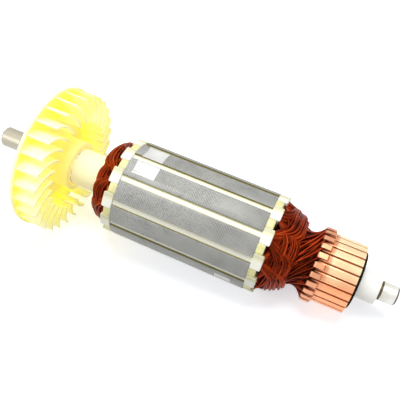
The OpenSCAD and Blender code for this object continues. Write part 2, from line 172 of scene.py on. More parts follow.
class Finish:
    """The nodes of one material, or of the world, while they are put together."""

    def __init__(self, name, shelf="materials"):
        self.owner = getattr(bpy.data, shelf).new(name)
        self.owner.use_nodes = True
        self.tree = self.owner.node_tree
        self.tree.nodes.clear()

    def node(self, kind, settings=None, inputs=None, output=0):
        """Adds a node of that kind, sets it up, feeds its sockets and returns one output."""
        made = self.tree.nodes.new("ShaderNode" + kind)
        for name, setting in (settings or {}).items():
            if name == "stops":
                self.set_stops(made.color_ramp, setting)
            else:
                setattr(made, name, setting)
        for key, value in (inputs or {}).items():
            socket = socket_in_use(made.inputs, key)
            if isinstance(value, Value):
                self.tree.links.new(value.socket, socket)
            else:
                socket.default_value = value
        return Value(self, socket_in_use(made.outputs, output)) if made.outputs else None

    @staticmethod
    def set_stops(ramp, stops):
        """Sets a colour ramp to those (position, colour) stops."""
        while len(ramp.elements) < len(stops):
            ramp.elements.new(1.0)
        for element, (place, colour) in zip(ramp.elements, stops):
            element.position = place
            element.color = opaque(colour)

    def number(self, value):
        """A fixed number, to stand on the left of a sum."""
        made = self.node("Value")
        made.socket.default_value = value
        return made

    def place(self):
        """Object coordinates."""
        return self.node("TexCoord", output="Object")

    def stretched(self, scale):
        """Object coordinates, scaled differently along each axis."""
        return self.node("Mapping", {}, {"Vector": self.place(), "Scale": scale})

    def axes(self):
        """Object coordinates x, y and z as three numbers."""
        split = self.node("SeparateXYZ", {}, {"Vector": self.place()})
        return [Value(self, output) for output in split.socket.node.outputs]

    def turn(self):
        """Angle round the shaft, in radians."""
        _, y, z = self.axes()
        return z.math("ARCTAN2", y)

    def radius(self):
        """Distance from the shaft's middle line."""
        _, y, z = self.axes()
        return (y * y + z * z).math("SQRT")

    def from_slot(self):
        """Distance from the nearest slot's middle round the core, below 0 on one side."""
        pitch = math.radians(SLOT_PITCH)
        return ((self.turn() / pitch + 0.5).math("FRACT") - 0.5) * (pitch * CORE_R)

    def noise(self, scale, detail=3.0, rough=0.5, at=None):
        """Noise with about that many features in a metre, from 0 to 1."""
        inputs = {"Vector": at or self.place(), "Scale": scale, "Detail": detail}
        return self.node("TexNoise", {}, {**inputs, "Roughness": rough})

    def turned(self, along, round_it):
        """Marks of a lathe, with that many features in a metre along the shaft and round it."""
        return self.noise(1.0, 2.0, 0.6, self.stretched((along, round_it, round_it)))

    def ramp(self, value, *stops):
        """A colour from (position, colour) stops."""
        return self.node("ValToRGB", {"stops": stops}, {"Fac": value})

    def rise(self, value, start, end):
        """0 up to start, 1 from end on."""
        return self.ramp(value, (start, BLACK), (end, WHITE))

    def fall(self, value, start, end):
        """1 up to start, 0 from end on."""
        return self.ramp(value, (start, WHITE), (end, BLACK))

    def blend(self, factor, first, second):
        """A colour between first and second."""
        colours = {"Factor": factor, "A": opaque(first), "B": opaque(second)}
        return self.node("Mix", {"data_type": "RGBA"}, colours, "Result")

    def bump(self, height, strength, distance):
        """A normal bent by a height from 0 to about 1, where 1 stands that far out."""
        inputs = {"Height": height, "Strength": strength, "Distance": distance}
        return self.node("Bump", {}, inputs)

    def seen_directly(self):
        """1 for camera, mirror and glass rays, 0 for light on its way to something else."""
        camera, glossy, glass = (
            self.node("LightPath", output=f"Is {kind} Ray")
            for kind in ("Camera", "Glossy", "Transmission")
        )
        return camera.math("MAXIMUM", glossy).math("MAXIMUM", glass)

    def shader(self, kind, colour, **inputs):
        """A plain shader of one colour."""
        return self.node(kind, {}, {"Color": opaque(colour), **inputs})

    def blend_shaders(self, factor, first, second):
        """A shader between first and second."""
        return self.node("MixShader", {}, {0: factor, 1: first, 2: second})

    def principled(self, **inputs):
        """Ends the material with a Principled shader, socket names in lower case."""
        names = {
            name.replace("_", " ").title().replace("Ior", "IOR"): value
            for name, value in inputs.items()
        }
        return self.end("Material", self.node("BsdfPrincipled", {}, names))

    def end(self, kind, surface):
        """Sends a shader to the output and returns the finished material or world."""
        self.node("Output" + kind, {}, {"Surface": surface})
        return self.owner


# ---- Finishes ----


def colour_of(name):
    """One of the colours that a user may change."""
    return tuple(getattr(bpy.context.scene.armature_finish, name))


def lit_through(weight, reach):
    """Inputs for plastic that lets light in, with the reach of red, green and blue in metres."""
    return {"subsurface_weight": weight, "subsurface_radius": reach, "subsurface_scale": 1.0}


def ground_steel():
    """Ground journals, with painted shade in the dull dark groove beside the sleeve and on the
    chamfers.
    """
    f = Finish("ground_steel")
    sizes = bpy.context.scene.armature_sizes
    steel = colour_of("steel")
    x, _, _ = f.axes()
    marks = f.turned(9000, 400)
    wear = f.noise(160, 4.0)
    # Painted shade in the groove beside the sleeve, in dark and pale patches, from 1 mm under the
    # sleeve
    under_sleeve = 0.001
    shaded_groove = x.within(SLEEVE_END_X - under_sleeve, SLEEVE_END_X + sizes.groove_w)
    # Painted shade on the chamfers at both ends, outside the end faces
    at_ends = (x > SHAFT_END_X - sizes.tip_chamfer) + (x < sizes.fan_end_chamfer)
    shaded_chamfer = at_ends * (f.radius() > sizes.end_face_r)
    tone = f.blend(x > MOULDING_X, steel, colour_of("steel_tip"))
    tone = f.blend(f.rise(wear, 0.35, 0.65) * 0.5, tone, dim(steel, 1.12))
    tone = f.blend(shaded_chamfer, tone, dim(steel, 0.16))
    groove = f.blend(wear, colour_of("groove_deep"), colour_of("groove"))
    return f.principled(
        base_color=f.blend(shaded_groove, tone, groove),
        metallic=0.6,
        roughness=0.32 + marks * 0.16,
        normal=f.bump(marks, 0.25, 0.00003),
    )


def fan_nylon():
    """Lemon nylon that light shines through, with a painted glow, painted light on the blades'
    outer edges, and painted shade between the blades and round the boss, where the colour is
    deeper.
    """
    f = Finish("fan_nylon")
    pale = colour_of("fan")
    x, _, _ = f.axes()
    radius = f.radius()
    cloud = f.noise(70)
    height = (x - FAN_X) / (FAN_END_X - FAN_X)
    # Painted shade: deeper yellow towards the back of the fan, between its blades
    blades = f.ramp(height + cloud * 0.06, (0.15, colour_of("fan_recess_shade")), (0.5, pale))
    # Painted light: pale edges from 30.7 mm out
    blades = f.blend(f.rise(radius * 30.0, 0.92, 0.96), blades, pale)
    # The boss's deeper colour, painted shade of light bouncing in the fan's hollow over its
    # thicker plastic, fades out between about 17 and 22 mm, and stays off the back of the disc
    boss = f.fall(radius * 40.0 + cloud * 0.08, 0.68, 0.9) * (height > 0.06)
    return f.principled(
        base_color=f.blend(boss, blades, colour_of("fan_boss_shade")),
        roughness=0.38 + cloud * 0.1,
        normal=f.bump(f.noise(2600, 2.0), 0.06, 0.00004),
        # Painted glow: the fan gives off light of its own, standing in for light coming through
        # the nylon
        emission_color=opaque(colour_of("fan_painted_glow")),
        emission_strength=0.27,
        **lit_through(0.5, (0.009, 0.0075, 0.0012)),
    )


def ivory_moulding():
    """Ivory sleeve with a painted glow, handled beside the fan, painted with shade in the neck
    between the wires, and pale at its tip.
    """
    f = Finish("ivory_moulding")
    sizes = bpy.context.scene.armature_sizes
    sleeve, wire = colour_of("sleeve"), colour_of("wire_dark")
    x, _, _ = f.axes()
    cloud = f.noise(120)
    speck = f.noise(700, 4.0, 0.7)
    # Painted shade: in the neck the sleeve takes the dark wire colour, as if deep among the wires
    neck_shade_mask = x.within(CORE_X, MOULDING_X)
    base = f.blend(x > MOULDING_X, sleeve, colour_of("sleeve_tip"))
    base = f.blend(neck_shade_mask, base, wire)
    tone = f.blend(cloud * 0.2, base, dim(sleeve, 0.8))
    tone = f.blend(f.rise(speck, 0.66, 0.74) * 0.3, tone, dim(sleeve, 0.55))
    # Handled over the 4.5 mm beside the fan's boss, with a dirty seam where they meet
    from_boss = x - FAN_END_X
    handled = (1 - from_boss * 220.0).math("MULTIPLY", cloud, clamp=True)
    tone = f.blend(handled * 0.6, tone, colour_of("handled"))
    half_seam = sizes.seam_w / 2
    seam = (from_boss - half_seam).math("ABSOLUTE") < half_seam
    dirt = f.rise(f.noise(330, 3.0, 0.6), 0.46, 0.6) * seam
    tone = f.blend(dirt * 0.85, tone, colour_of("dirt"))
    return f.principled(
        base_color=f.blend(neck_shade_mask, tone, wire),
        roughness=0.42 + cloud * 0.1,
        normal=f.bump(f.noise(2200, 2.0), 0.08, 0.00004),
        # Painted glow: the sleeve gives off light in its own colour
        emission_color=base,
        emission_strength=0.18,
        **lit_through(0.3, (0.004, 0.003, 0.0012)),
    )


def stacked_sheets():
    """Turned steel sheets: fine rings with faint slanting marks, painted glints, bright milled
    cuts, and painted shade in the slots.
    """
    f = Finish("stacked_sheets")
    sizes = bpy.context.scene.armature_sizes
    core = colour_of("core")
    x, y, _ = f.axes()
    radius = f.radius()
    sheet = (x * (math.tau / sizes.sheet_pitch)).math("SINE")
    slant = (x * (math.tau / sizes.mark_pitch) - f.turn() * sizes.mark_turns).math("SINE")
    smudge = f.noise(110, 4.0, 0.6)
    speck = f.noise(1500, 3.0, 0.7)
    rough = f.ramp(f.noise(34, 2.0), (0.44, dim(WHITE, 0.3)), (0.6, WHITE))
    # Painted glints: bright specks in the rough patches
    glints = f.fall(speck, 0.3, 0.45) * rough
    pits = f.rise(speck, 0.52, 0.7) * rough
    tone = f.ramp(smudge, (0.3, dim(core, 0.66)), (0.5, core), (0.72, dim(core, 1.2)))
    tone = f.blend(slant * 0.26 + 0.26, tone, dim(core, 1.5))
    tone = f.blend(glints * 0.35, tone, dim(core, 1.7))
    tone = f.blend(pits * 0.75, tone, dim(core, 0.45))
    # Balance cuts lie below the turned face near both ends, by the hooks only where y is below 0
    slot_r = CORE_R * 0.94
    near_fan = x.within(CORE_X + 0.0025, CORE_X + 0.0135)
    near_hooks = x.within(CORE_END_X - 0.013, CORE_END_X - 0.0055) * (y < 0)
    milled = (near_fan + near_hooks) * radius.within(slot_r, CORE_R - sizes.cut_depth)
    bright = f.blend(smudge, colour_of("milled"), colour_of("milled_bright"))
    tone = f.blend(milled, tone, bright)
    # Painted shade in the slots and on their sides, and a thin line on the teeth beside them
    lip = f.from_slot().math("ABSOLUTE") < sizes.lip_from
    slot_shade_mask = lip.math("MAXIMUM", radius < slot_r)
    height = sheet * 0.5 + slant * 0.35 + speck * 0.6
    return f.principled(
        base_color=f.blend(slot_shade_mask, tone, colour_of("slot_shade")),
        metallic=0.25,
        roughness=0.55 - milled * 0.15 + smudge * 0.08,
        normal=f.bump(height * (1 - milled * 0.8), 0.35, 0.00004),
    )


def insulator_moulding():
    """Pale yellow plastic, a little clouded."""
    f = Finish("insulator_moulding")
    base = colour_of("insulator")
    cloud = f.noise(260, 4.0, 0.6)
    return f.principled(
        base_color=f.ramp(cloud, (0.3, dim(base, 0.84)), (0.6, base)),
        roughness=0.42,
        normal=f.bump(f.noise(1800, 2.0), 0.1, 0.00004),
        **lit_through(0.25, (0.003, 0.003, 0.001)),
    )


def insulating_paper():
    """White slot paper, with painted shade along the edges of its strips and on one side of each
    wedge's head.
    """
    f = Finish("insulating_paper")
    base, stain_and_shade, fold_shade = colour_of("paper"), colour_of("paper_edge_shade"), colour_of("paper_fold_shade")
    x, _, _ = f.axes()
    across = f.from_slot()
    fibre = f.noise(1.0, 3.0, 0.6, f.stretched((500, 2600, 2600)))
    patch = f.noise(200, 3.0, 0.6)
    # A strip is 2.6 mm wide and a wedge's head 6.8 mm; each ramp runs from side to side. The
    # ramps paint shade: a tooth's shadow on one side of a strip, a thin dark line at its other
    # edge, and shade on one side of a head
    strip = f.ramp(
        across * 385.0 + 0.49 + patch * 0.02,
        (0.04, stain_and_shade),
        (0.2, fold_shade),
        (0.34, base),
        (0.9, base),
        (0.98, stain_and_shade),
    )
    head = f.ramp(
        across * 147.0 + 0.47 + patch * 0.06,
        (0.2, dim(fold_shade, 0.8)),
        (0.36, fold_shade),
        (0.5, base),
    )
    return f.principled(
        base_color=f.blend(x.within(CORE_X, CORE_END_X), head, strip),
        roughness=0.5,
        normal=f.bump(fibre, 0.15, 0.00005),
    )


def enamelled_wire(name, share):
    """Copper wire under dark red enamel; share sets how light one wire is."""
    f = Finish(name)
    light, dark = dim(colour_of("wire_light"), share), dim(colour_of("wire_dark"), share)
    patch = f.noise(190, 3.0, 0.6)
    streak = f.noise(1500, 2.0)
    return f.principled(
        base_color=f.ramp(patch * 0.75 + streak * 0.35, (0.32, dark), (0.68, light)),
        metallic=0.6,
        roughness=0.36 + streak * 0.12,
        specular_ior_level=0.1,
    )


def bar_copper():
    """Turned copper with a bright brush track between duller ends, painted shade between the
    hooks, and a painted highlight on the track towards the top.
    """
    f = Finish("bar_copper")
    sizes = bpy.context.scene.armature_sizes
    base, dust = colour_of("copper"), colour_of("copper_dust_and_shade")
    x, _, z = f.axes()
    marks = f.turned(12000, 300)
    patch = f.noise(60, 2.0)
    stain_and_shade = f.noise(300, 4.0, 0.6)
    # The track starts over about a millimetre
    on_track = ((x - MOULDING_X - sizes.track_start) * 900.0).math("ADD", 0.5, clamp=True)
    dull = f.blend(stain_and_shade, dim(base, 0.72), base)
    # Painted shade between and under the hooks, gone about 3 mm on
    hook_shade = f.fall((x - MOULDING_X) * 200.0 + stain_and_shade * 0.4, 0.35, 0.85)
    shade_beside_hooks = (f.radius() < HOOK_EYE_R + 0.0006) * hook_shade
    dull = f.blend(shade_beside_hooks, dull, dim(dust, 0.3))
    # Painted highlight: the track is paler towards the top and rosier towards the bottom, with
    # patches of wear
    rosy, bright = (0.4, colour_of("copper_rose")), (0.8, colour_of("copper_track"))
    worn_and_lit = f.ramp(z * 60.0 + patch - 0.45, rosy, bright)
    worn_and_lit = f.blend(stain_and_shade * 0.3, worn_and_lit, dim(base, 0.9))
    return f.principled(
        base_color=f.blend(on_track, dull, worn_and_lit),
        metallic=1.0,
        roughness=0.42 - on_track * 0.06 + marks * 0.1,
        normal=f.bump(marks, 0.3, 0.00003),
    )


def phenolic():
    """Dull black moulding, with copper dust in the gaps between the bars."""
    f = Finish("phenolic")
    base = colour_of("phenolic")
    x, _, _ = f.axes()
    cloud = f.noise(700, 4.0, 0.6)
    black = f.blend(cloud, dim(base, 0.6), dim(base, 1.4))
    rim_w = 0.001
    between_bars = x.within(MOULDING_X + rim_w, BAR_END_X)
    return f.principled(
        base_color=f.blend(between_bars, black, colour_of("copper_dust_and_shade")),
        roughness=0.75 + cloud * 0.15,
        normal=f.bump(cloud, 0.2, 0.00005),
        specular_ior_level=0.05,
    )


def white_table():
    """White where it is seen directly, with a soft shadow, and grey to the light it sends up."""
    f = Finish("white_table")
    cloth = f.shader("BsdfDiffuse", colour_of("table"))
    glow = f.shader("Emission", colour_of("table_glow"), Strength=0.52)
    near = f.node("AddShader", {}, {0: cloth, 1: glow})
    # Cloth that takes the shadow up to 0.3 m out, and plain white from 0.63 m on
    x, y, _ = f.axes()
    away = ((x * x + y * y).math("SQRT") - 0.3).math("MULTIPLY", 3.0, clamp=True)
    seen = f.blend_shaders(away, near, f.shader("Emission", WHITE))
    unseen = f.shader("BsdfDiffuse", colour_of("table_unseen"))
    return f.end("Material", f.blend_shaders(f.seen_directly(), unseen, seen))


# ---- Mesh helpers ----


# Edges sharper than this many degrees are rounded, once points this close are joined
SHARP_ANGLE = 35.0
JOIN_DISTANCE = 0.000002


def dress(name, finish):
    """Gives a CAD node its finish."""
    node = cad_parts[name]
    node.data.materials.clear()
    node.data.materials.append(finish)
    return node


def soften(node, width, segments=2, clamp=True):
    """Rounds a CAD node's sharp edges with modifiers, its own mesh left as it is."""
    node.modifiers.new("join", "WELD").merge_threshold = JOIN_DISTANCE
    bevel = node.modifiers.new("edges", "BEVEL")
    bevel.width = width
    bevel.segments = segments
    bevel.limit_method = "ANGLE"
    bevel.angle_limit = math.radians(SHARP_ANGLE)
    bevel.use_clamp_overlap = clamp


def wires(name, runs, radius, finishes):
    """One piece of round wires as a mesh, from (path, closed, finish number) runs."""
    curve = bpy.data.curves.new(name, "CURVE")
    curve.dimensions = "3D"
    curve.bevel_depth = radius
    curve.bevel_resolution = 1
    curve.use_fill_caps = True
    for finish in finishes:
        curve.materials.append(finish)
    for path, closed, finish in runs:
        spline = curve.splines.new("POLY")
        spline.points.add(len(path) - 1)
        for point, place in zip(spline.points, path):
            point.co = (*place, 1.0)
        spline.use_cyclic_u = closed
        spline.material_index = finish
    holder = bpy.data.objects.new(name, curve)
    mesh = bpy.data.meshes.new_from_object(holder)
    bpy.data.objects.remove(holder)
    mesh.name = name
    piece = bpy.data.objects.new(name, mesh)
    bpy.context.scene.collection.objects.link(piece)
    mesh.shade_smooth()
    return piece


# ---- Winding ----


def around(angle, x, r):
    """Point at an angle in degrees about the shaft."""
    turn = math.radians(angle)
    return Vector((x, r * math.cos(turn), r * math.sin(turn)))


def eased(t):
    """0 to 1 with a soft start and end."""
    t = min(max(t, 0.0), 1.0)
    return t * t * (3 - 2 * t)


def between(points, at):
    """Value at a place, along straight stretches between (place, value) points."""
    for (low_at, low_value), (high_at, high_value) in zip(points, points[1:]):
        if at <= high_at:
            share = max(at - low_at, 0.0) / (high_at - low_at)
            return low_value + (high_value - low_value) * share
    return points[-1][1]


def smoothed(values, rounds):
    """The same list with its corners worn down, its ends left where they are."""
    for _ in range(rounds):
        inner = [
            (before + 2 * here + after) / 4
            for before, here, after in zip(values, values[1:], values[2:])
        ]
        values = [values[0], *inner, values[-1]]
    return values


def plan_path(start, span, slot_r, neck_r, steps):
    """Points of an end turn seen along the shaft: straight to the neck, round it and on."""
    reach = math.degrees(math.acos(neck_r / slot_r))
    straight = math.sqrt(slot_r**2 - neck_r**2)
    wrap = math.radians(span - 2 * reach) * neck_r
    total = 2 * straight + wrap
    path = []
    for k in range(steps + 1):
        s = total * k / steps
        if s < straight:
            rest = straight - s
            turn, r = reach - math.degrees(math.atan2(rest, neck_r)), math.hypot(rest, neck_r)
        elif s > straight + wrap:
            gone = s - straight - wrap
            turn = span - reach + math.degrees(math.atan2(gone, neck_r))
            r = math.hypot(gone, neck_r)
        else:
            turn, r = reach + math.degrees((s - straight) / neck_r), neck_r
        angle = math.radians(start + turn)
        path.append(Vector((r * math.cos(angle), r * math.sin(angle))))
    return path, total


def dome_height(r, sizes):
    """Share of the dome's height at a radius: full beside the sleeve, nothing at the rim."""
    share = (r - sizes.neck_r) / (sizes.dome_r - sizes.neck_r)
    return max(1 - max(share, 0.0) ** 3, 0.0) ** 0.5


class Pile:
    """Counts the bundles that lie on each small square of a core face."""

    SQUARE = 0.0008

    def __init__(self):
        self.counts = {}

    def cell(self, point):
        return (round(point.x / self.SQUARE), round(point.y / self.SQUARE))

    def under(self, point):
        return self.counts.get(self.cell(point), 0)

    def add(self, points):
        for cell in {self.cell(point) for point in points}:
            self.counts[cell] = self.counts.get(cell, 0) + 1


class Bundle:
    """One coil's end turn on one face: its middle line and its width, seen along the shaft."""

    STEPS = 32
    # Places across the bundle, as shares of half its width: all over it, and for its height
    COVER = [k / 8 - 1 for k in range(17)]
    PROBES = (-0.7, 0.0, 0.7)
    # Share of the bundle's length in which it reaches its full width
    WIDENING = 1 / 2.4
    # A wire strays by this share of half the width, in waves of so many radians a step
    STRAY = 0.1
    PACE = (0.14, 0.3)
    # Spread of the wires from their even places, across and in height
    SIDE_SPREAD = 0.05
    LIFT_SPREAD = 0.00012
    # The bundle's sides lie this share lower than its middle
    CROWN = 0.3
    # Wire radii from layer to layer, how far a wire has climbed at its slot, and its least height
    LAYER_STEP = 1.7
    RISE_AT_SLOT = 0.12
    LEAST_HEIGHT = 0.0002

    def __init__(self, sizes, start, neck_r, draws):
        self.sizes = sizes
        self.draws = draws
        self.path, self.length = plan_path(start, COIL_SPAN, sizes.slot_r, neck_r, self.STEPS)
        self.sides = []
        for k in range(self.STEPS + 1):
            before, after = self.path[max(k - 1, 0)], self.path[min(k + 1, self.STEPS)]
            along = (after - before).normalized()
            self.sides.append(Vector((along.y, -along.x)))
        self.widths = [
            sizes.slot_w + (sizes.bundle_w - sizes.slot_w) * eased(min(t, 1 - t) / self.WIDENING)
            for t in (k / self.STEPS for k in range(self.STEPS + 1))
        ]

    def across(self, shares):
        """At each step, the points at those shares of half the width."""
        for point, side, width in zip(self.path, self.sides, self.widths):
            yield [point + side * (width * share / 2) for share in shares]

    def cover(self):
        """Points all over the bundle."""
        return [place for places in self.across(self.COVER) for place in places]

    def levels(self, pile, totals):
        """Share of the dome's height at which the bundle's upper face lies, along its path."""

        def level(place):
            layers = pile.under(place) + 1
            return layers / max(totals.under(place), layers)

        return smoothed([max(map(level, places)) for places in self.across(self.PROBES)], 3)

    def wires(self, levels, dome):
        """Paths of the wires as (y, z, height above the face)."""
        wires_across = self.sizes.wires_across
        made = []
        for layer in range(self.sizes.wire_layers):
            for k in range(wires_across):
                share = (k + 0.5 * (layer % 2)) / (wires_across - 0.5) * 2 - 1
                share += self.draws.uniform(-self.SIDE_SPREAD, self.SIDE_SPREAD)
                made.append(self.wire(share, layer, levels, dome))
        return made

    def wire(self, share, layer, levels, dome):
        """Path of one wire, at a share of half the bundle's width."""
        sizes = self.sizes
        wave = self.draws.uniform(0, math.tau)
        pace = self.draws.uniform(*self.PACE)
        lift = self.draws.uniform(-self.LIFT_SPREAD, self.LIFT_SPREAD)
        sink = layer * self.LAYER_STEP * sizes.wire_r
        lowest_r, highest_r = sizes.neck_r + sizes.wire_r, sizes.dome_r - sizes.wire_r
        path = []
        for n, (point, side, width, level) in enumerate(
            zip(self.path, self.sides, self.widths, levels)
        ):
            drift = self.STRAY * math.sin(wave + n * pace)
            spot = point + side * (width * (share + drift) / 2)
            r = min(max(spot.length, lowest_r), highest_r)
            spot = spot.normalized() * r
            top = dome * dome_height(r, sizes) * level
            crown = (1 - self.CROWN * share * share) * top - sink + lift
            from_slot = min(n, self.STEPS - n) * self.length / self.STEPS
            rise = eased(from_slot / sizes.rise_run + self.RISE_AT_SLOT)
            path.append(Vector((spot.x, spot.y, max(crown * rise, self.LEAST_HEIGHT))))
        return smoothed(path, 4)


# ---- Sizes and colours a user may change ----


def length(name, description, default):
    """A length in metres."""
    return FloatProperty(
        name=name,
        description=description,
        default=default,
        min=0.0,
        max=1.0,
        precision=5,
        subtype="DISTANCE",
        unit="LENGTH",
    )


def count(name, description, default, lowest, highest):
    """A whole number."""
    return IntProperty(
        name=name, description=description, default=default, min=lowest, max=highest
    )


def shade(name, description, default):
    """A colour."""
    return FloatVectorProperty(
        name=name,
        description=description,
        default=default,
        size=3,
        min=0,
        max=1,
        subtype="COLOR",
    )


class ArmatureSizes(bpy.types.PropertyGroup):
    """Sizes of the fine detail."""

    wire_r: length("Wire radius", "Radius of a winding wire", 0.00038)
    wires_across: count("Wires across", "Wires side by side in a bundle", 10, 3, 16)
    wire_layers: count("Wire layers", "Wires on top of each other", 3, 1, 4)
    leads_per_hook: count("Leads at a hook", "Wires that run to one hook", 4, 1, 6)
    neck_wires: count("Neck wires", "Wires under the leads to one hook", 6, 0, 8)
    slot_r: length("Slot radius", "Where a bundle leaves its slot", 0.0177)
    slot_w: length("Bundle at the slot", "Width of a bundle where it leaves its slot", 0.006)
    slot_reach: length("Reach into the slot", "How far the wires go into the slots", 0.004)
    bundle_w: length("Bundle width", "Width of a bundle on a core face", 0.0074)
    neck_r: length("Neck radius", "Radius of the sleeve under the end turns", 0.0084)
    neck_spread: length("Neck spread", "How far out the last coil passes the sleeve", 0.0028)
    waist_r: length("Waist radius", "Radius of the leads between winding and hooks", 0.0112)
    dome_r: length("Dome radius", "Outer radius of the end turns", 0.0201)
    rise_run: length("Rise", "Run in which a bundle climbs out of its slot", 0.006)
    dome_fan: length("Fan-side end turns", "Height of the end turns at the fan side", 0.0094)
    dome_commutator: length(
        "Commutator-side end turns", "Height of the end turns at the commutator side", 0.0124
    )
    sleeve_edge: length("Sleeve edges", "Rounding of the sleeve's edges", 0.0003)
    fan_edge: length("Fan edges", "Rounding of the fan's edges", 0.00018)
    core_edge: length("Core edges", "Rounding of the stack's edges", 0.0001)
    insulator_edge: length("Insulator edges", "Rounding of the end insulators", 0.00025)
    wedge_edge: length("Wedge edges", "Rounding of the wedges and their heads", 0.0005)
    bar_edge: length("Bar edges", "Rounding of the copper bars", 0.0002)
    sheet_pitch: length("Sheet pitch", "Thickness of one steel sheet", 0.0005)
    mark_pitch: length("Mark pitch", "Spacing of the slanting turning marks", 0.0013)
    mark_turns: FloatProperty(
        name="Mark slant", description="Turning marks round the stack", default=115.0
    )
    cut_depth: length("Cut depth", "Least depth that counts as a milled cut", 0.00003)
    # The painted shade covers the slot and a thin edge of the teeth beside it
    lip_from: length("Lip", "Half the width of a slot and its stained edges", 0.001365)
    seam_w: length("Seam width", "Dirty seam between the fan's boss and the sleeve", 0.0006)
    # The groove is painted with shade over this width
    groove_w: length("Groove width", "Dark groove between the sleeve and its journal", 0.0014)
    # Both chamfers are painted with shade, outside the end face's radius below
    tip_chamfer: length("Tip chamfer", "Dark chamfer at the commutator end", 0.0007)
    fan_end_chamfer: length("Fan-end chamfer", "Dark chamfer at the fan end", 0.0006)
    end_face_r: length("End face", "Radius of the bright part of the end faces", 0.0034)
    track_start: length("Track start", "Distance from the moulding to the brush track", 0.0056)


class ArmatureFinish(bpy.types.PropertyGroup):
    """Colours of the finishes."""

    steel: shade("Steel", "Ground shaft", (0.46, 0.425, 0.34))
    steel_tip: shade("Steel tip", "Polished journal at the commutator", (0.86, 0.85, 0.79))
    # Groove and deep groove: painted shade in the groove beside the sleeve, in pale and dark
    # patches
    groove: shade("Groove", "Groove beside the sleeve, pale patches", (0.3, 0.24, 0.1))
    groove_deep: shade("Groove, deep", "Groove, dark patches", (0.03, 0.022, 0.008))
    # The fan's colour, and the painted light on its blades' outer edges
    fan: shade("Fan", "Edges of the fan's blades", (1.0, 1.0, 0.7))
    # Painted shade deep in the fan between its blades
    fan_recess_shade: shade("Fan, deep", "Fan between its blades", (1.0, 0.98, 0.32))
    # Middle of the fan: painted shade of light bouncing in its hollow, over its thicker plastic
    fan_boss_shade: shade("Fan boss", "Middle of the fan", (1.0, 0.86, 0.45))
    # Colour of the fan's painted glow
    fan_painted_glow: shade("Fan glow", "Light that comes through the fan", (1.0, 0.86, 0.1))
    sleeve: shade("Sleeve", "Insulating sleeve", (1.0, 0.93, 0.66))
    sleeve_tip: shade("Sleeve tip", "Sleeve beyond the commutator", (1.0, 0.99, 0.93))
    handled: shade("Handled", "Sleeve where it is handled", (0.74, 0.64, 0.5))
    dirt: shade("Dirt", "Dirt in the seam beside the fan's boss", (0.12, 0.1, 0.05))
    core: shade("Core", "Turned steel sheets", (0.34, 0.34, 0.32))
    milled: shade("Milled cut", "Balance cuts, dull patches", (0.62, 0.62, 0.6))
    milled_bright: shade("Milled cut, bright", "Balance cuts", (0.9, 0.9, 0.88))
    # Painted shade on the sides of the teeth and in the slots
    slot_shade: shade("Slot sides", "Stained sides of the teeth", (0.2, 0.18, 0.075))
    insulator: shade("Insulators", "Moulded end insulators", (0.92, 0.87, 0.42))
    paper: shade("Paper", "Slot liners and wedges", (0.97, 0.97, 0.86))
    # Painted shade on one side of the wedges' heads and beside the strips' edges
    paper_fold_shade: shade("Paper fold", "Sides of the wedges' heads", (0.95, 0.93, 0.64))
    # Painted shade along the edges of the strips in the slots
    paper_edge_shade: shade("Paper edge", "Edges of the strips in the slots", (0.72, 0.68, 0.38))
    wire_light: shade("Wire, light", "Enamel where it is thin", (0.42, 0.045, 0.006))
    # Also the painted shade on the sleeve in the neck
    wire_dark: shade("Wire, dark", "Enamel where it is thick", (0.13, 0.01, 0.002))
    copper: shade("Copper", "Hooks and bar ends", (0.84, 0.4, 0.22))
    # Paler where the painted highlight lies, towards the top
    copper_track: shade("Brush track, pale", "Worn copper", (1.0, 0.82, 0.5))
    # Rosier towards the bottom, where the painted highlight fades
    copper_rose: shade("Brush track, rosy", "Worn copper in rosy patches", (0.9, 0.38, 0.18))
    # Dust between the bars, and dimmed, the painted shade beside the hooks
    copper_dust_and_shade: shade("Copper dust", "Dust between the bars", (0.4, 0.11, 0.04))
    phenolic: shade("Moulding", "Dark commutator moulding", (0.02, 0.014, 0.01))
    table: shade("Table", "Table round the armature", (0.81, 0.85, 0.9))
    table_glow: shade("Table glow", "Light that the table gives off", (0.99, 0.98, 1.0))
    table_unseen: shade("Table, unseen", "Table as it lights the armature", (0.4, 0.4, 0.4))


# ---- Operators ----


